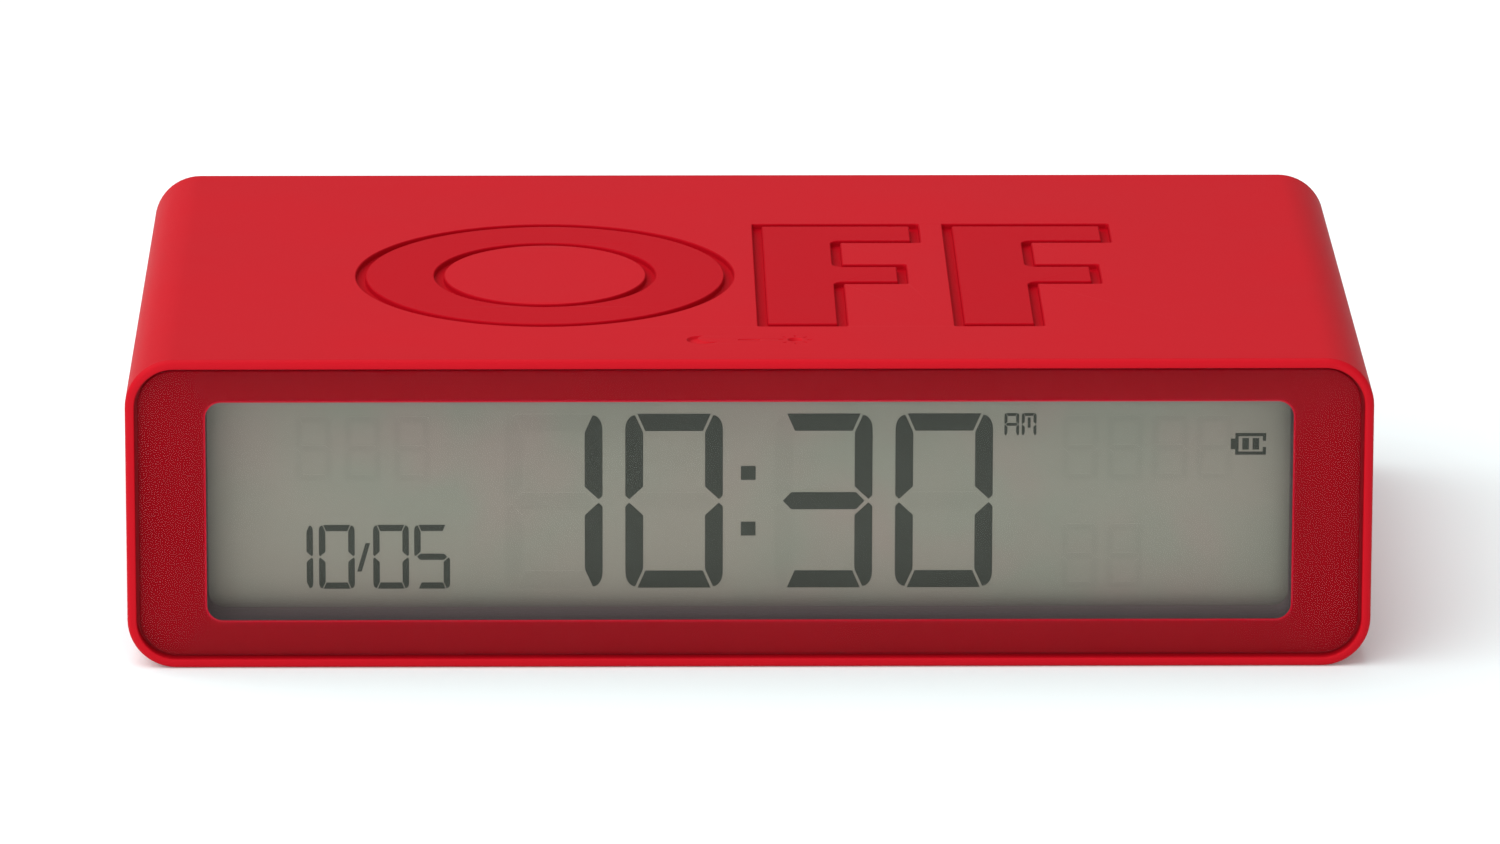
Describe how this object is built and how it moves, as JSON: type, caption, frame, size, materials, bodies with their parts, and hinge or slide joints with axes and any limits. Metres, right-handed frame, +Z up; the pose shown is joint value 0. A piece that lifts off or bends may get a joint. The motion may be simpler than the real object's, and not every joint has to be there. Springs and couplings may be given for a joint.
{
  "type": "travel alarm clock",
  "caption": "Flat block-shaped travel alarm clock with a wide LCD, a rubber sleeve with grooved legends, a rear battery door and push buttons.",
  "frame": {"origin": "centre of the underside", "axes": "+X right as one faces the display, -Y towards the viewer (the display is at -Y), +Z up"},
  "size_m": [0.086, 0.054, 0.022],
  "materials": {
    "sleeve_rubber": "satin soft-touch",
    "casing_plastic": "matte",
    "lens_acrylic": "polished, clear",
    "mask_print": "gloss, printed on the back",
    "adhesive_tape": "matte",
    "gasket_foam": "matte foam",
    "polariser_film": "matte film",
    "display_glass": "clear",
    "reflector_film": "matte film",
    "frame_plastic": "matte",
    "guide_acrylic": "frosted",
    "led_body": "gloss",
    "zebra_rubber": "matte",
    "board_green": "solder mask",
    "epoxy_black": "gloss",
    "part_metal": "plain",
    "ceramic_chip": "fired",
    "resistor_black": "gloss",
    "sensor_plastic": "matte",
    "copper_sheet": "plain",
    "cover_plastic": "fine texture",
    "bay_plastic": "matte",
    "cell_jacket": "printed sleeve",
    "spring_steel": "nickel plated",
    "lead_red": "vinyl",
    "lead_black": "vinyl",
    "ribbon_grey": "vinyl",
    "switch_plastic": "matte",
    "button_plastic": "satin",
    "screw_steel": "plain"
  },
  "bodies": {
    "root": {"outer_sleeve": "sleeve_rubber", "casing": "casing_plastic", "front_lens": "lens_acrylic", "window_mask": "mask_print", "lens_tape": "adhesive_tape", "display_gasket": "gasket_foam", "lcd_polariser": "polariser_film", "lcd_glass": "display_glass", "lcd_reflector": "reflector_film", "display_frame": "frame_plastic", "light_guide": "guide_acrylic", "backlight_led": "led_body", "zebra_strips": "zebra_rubber", "main_board": "board_green", "chip_blob": "epoxy_black", "quartz_crystal": "part_metal", "chip_capacitors": "ceramic_chip", "chip_resistors": "resistor_black", "tilt_case": "sensor_plastic", "buzzer_case": "sensor_plastic", "piezo_disc": "copper_sheet", "touch_plate_top": "copper_sheet", "touch_plate_bottom": "copper_sheet", "touch_contacts": "copper_sheet", "rear_cover": "cover_plastic", "battery_bay": "bay_plastic", "battery_cell": "cell_jacket", "battery_cap": "part_metal", "plus_contact": "spring_steel", "spring_contact": "spring_steel", "lead_red": "lead_red", "lead_black": "lead_black", "button_board_right": "board_green", "button_board_left": "board_green", "ribbon_right": "ribbon_grey", "ribbon_left": "ribbon_grey", "tact_switches": "switch_plastic", "cover_screws": "screw_steel", "board_screws": "screw_steel", "button_board_screws": "screw_steel", "bay_screws": "screw_steel"},
    "battery_door": {"battery_door": "cover_plastic"},
    "tilt_ball": {"tilt_ball": "part_metal"},
    "button_minus": {"button_minus": "button_plastic", "plunger_minus": "switch_plastic"},
    "button_plus": {"button_plus": "button_plastic", "plunger_plus": "switch_plastic"},
    "button_alarm": {"button_alarm": "button_plastic", "plunger_alarm": "switch_plastic"},
    "button_set": {"button_set": "button_plastic", "plunger_set": "switch_plastic"}
  },
  "joints": [
    {"name": "press_minus", "type": "slide", "parent": "root", "child": "button_minus", "axis": [0, -1, 0], "range_m": [0, 0.0005], "stiffness_N_per_m": 400, "springref_m": -0.0005},
    {"name": "press_plus", "type": "slide", "parent": "root", "child": "button_plus", "axis": [0, -1, 0], "range_m": [0, 0.0005], "stiffness_N_per_m": 400, "springref_m": -0.0005},
    {"name": "press_alarm", "type": "slide", "parent": "root", "child": "button_alarm", "axis": [0, -1, 0], "range_m": [0, 0.0005], "stiffness_N_per_m": 400, "springref_m": -0.0005},
    {"name": "press_set", "type": "slide", "parent": "root", "child": "button_set", "axis": [0, -1, 0], "range_m": [0, 0.0005], "stiffness_N_per_m": 400, "springref_m": -0.0005},
    {"name": "door_hinge", "type": "hinge", "parent": "root", "child": "battery_door", "pos_m": [0, 0.02675, 0.00475], "axis": [-1, 0, 0], "range_deg": [0, 75]},
    {"name": "ball_drop", "type": "slide", "parent": "root", "child": "tilt_ball", "axis": [0, 0, 1], "range_m": [0, 0.0016]}
  ]
}
